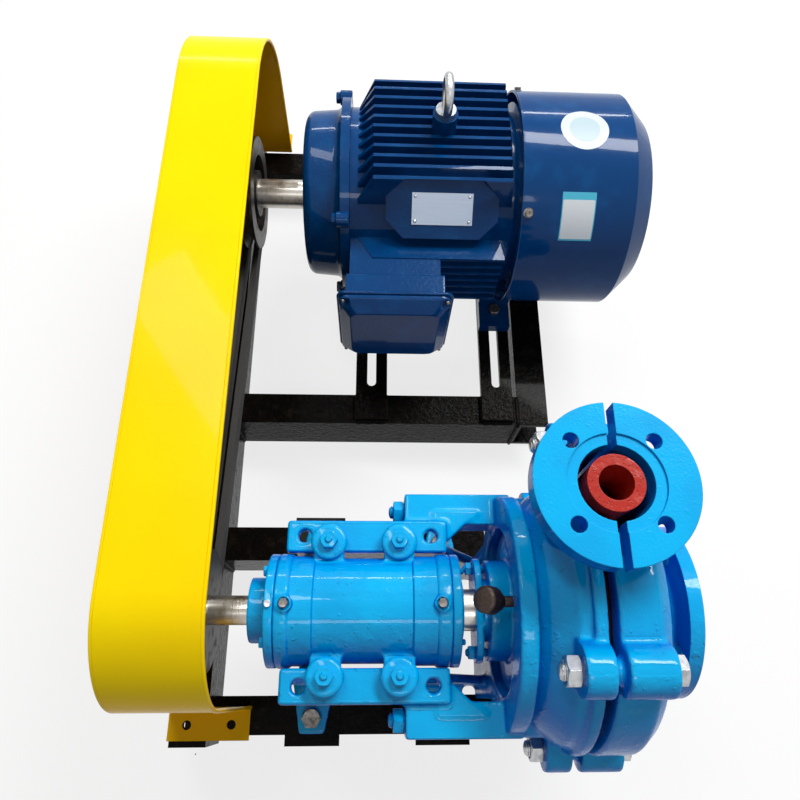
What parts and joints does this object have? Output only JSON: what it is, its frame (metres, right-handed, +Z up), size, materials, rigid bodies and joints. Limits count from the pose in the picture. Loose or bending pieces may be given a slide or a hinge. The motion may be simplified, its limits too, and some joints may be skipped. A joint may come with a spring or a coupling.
{
  "type": "belt-driven slurry pump set",
  "caption": "Small horizontal lined centrifugal slurry pump, belt driven from a finned foot motor behind it, on a welded channel skid with a sheet belt guard.",
  "frame": {"origin": "centre of the suction flange's face, on the pump shaft's axis", "axes": "+X out of the suction flange along the pump shaft, +Y towards the motor, +Z up"},
  "size_m": [0.577, 0.9447, 0.457],
  "materials": {
    "black_frame": "gloss black paint over rolled steel",
    "azure_paint": "gloss azure paint over cast iron",
    "zinc_plate": "zinc-plated steel",
    "bright_steel": "machined steel",
    "brown_metal": "dull brown brass",
    "packing": "braided graphite packing",
    "bronze": "bronze",
    "red_liner": "white iron with red primer",
    "hard_iron": "high-chrome white iron",
    "dark_iron": "machined grey iron",
    "belt_rubber": "rubber and cord",
    "yellow_paint": "gloss yellow paint over sheet steel",
    "navy_paint": "gloss dark blue enamel",
    "core_steel": "stacked laminations and windings",
    "fan_plastic": "moulded plastic",
    "black_plastic": "moulded plastic",
    "plate_aluminium": "bare aluminium"
  },
  "bodies": {
    "root": {"left_rail": "black_frame", "right_rail": "black_frame", "front_cross_member": "black_frame", "pump_cross_member": "black_frame", "motor_cross_member": "black_frame", "rear_cross_member": "black_frame", "foot_pads": "black_frame", "slide_bars": "black_frame", "pump_base": "azure_paint", "hold_down_bolts": "zinc_plate", "clamp_bolts": "azure_paint", "stuffing_box": "azure_paint", "packing_rings": "packing", "lantern_ring": "bronze", "gland": "azure_paint", "gland_studs": "zinc_plate", "grease_cup_body": "brown_metal", "frame_plate": "azure_paint", "cover_plate": "azure_paint", "casing_bolts": "zinc_plate", "frame_studs": "azure_paint", "volute_liner": "red_liner", "frame_plate_insert": "red_liner", "throatbush": "red_liner", "drive_belts": "belt_rubber", "guard_band": "yellow_paint", "guard_side_plate": "yellow_paint", "guard_feet": "yellow_paint"},
    "bearing_carrier": {"bearing_housing": "azure_paint", "drive_end_cover": "azure_paint", "pump_end_cover": "azure_paint", "cover_screws": "zinc_plate", "grease_plugs": "brown_metal", "bearing_outer_rings": "bright_steel"},
    "pump_rotor": {"bearing_inner_rings": "bright_steel", "pump_shaft": "bright_steel", "pump_pulley_key": "bright_steel", "shaft_sleeve": "bright_steel", "impeller": "hard_iron", "pump_pulley": "dark_iron"},
    "grease_cap": {"grease_cup_cap": "brown_metal"},
    "motor": {"motor_frame": "navy_paint", "drive_end_shield": "navy_paint", "fan_end_shield": "navy_paint", "stator": "core_steel", "motor_bearings": "bright_steel", "fan_cover": "navy_paint", "motor_cover_screws": "zinc_plate", "terminal_box": "navy_paint", "terminal_lid": "navy_paint", "cable_inlets": "black_plastic", "eyebolt": "zinc_plate", "nameplate": "plate_aluminium", "motor_foot_bolts": "zinc_plate"},
    "motor_rotor": {"motor_shaft": "bright_steel", "motor_pulley": "dark_iron", "motor_pulley_key": "bright_steel", "rotor_core": "core_steel", "motor_bearing_cores": "bright_steel", "cooling_fan": "fan_plastic"}
  },
  "joints": [
    {"name": "bearing_adjust", "type": "slide", "parent": "root", "child": "bearing_carrier", "axis": [1, 0, 0], "range_m": [-0.0015, 0.0015]},
    {"name": "pump_spin", "type": "hinge", "parent": "bearing_carrier", "child": "pump_rotor", "pos_m": [-0.3, 0, 0], "axis": [1, 0, 0], "continuous": true},
    {"name": "cap_turn", "type": "hinge", "parent": "root", "child": "grease_cap", "pos_m": [-0.184, 0, 0.068], "axis": [-0.6428, 0, 0.766], "range_deg": [0, 1080]},
    {"name": "belt_tension", "type": "slide", "parent": "root", "child": "motor", "axis": [0, 1, 0], "range_m": [-0.109, 0.036], "deforming": ["drive_belts"]},
    {"name": "motor_spin", "type": "hinge", "parent": "motor", "child": "motor_rotor", "pos_m": [-0.3, 0.552, -0.059], "axis": [1, 0, 0], "continuous": true}
  ],
  "couplings": [
    {"joint": "pump_spin", "follows": "motor_spin", "ratio": 1.25}
  ]
}
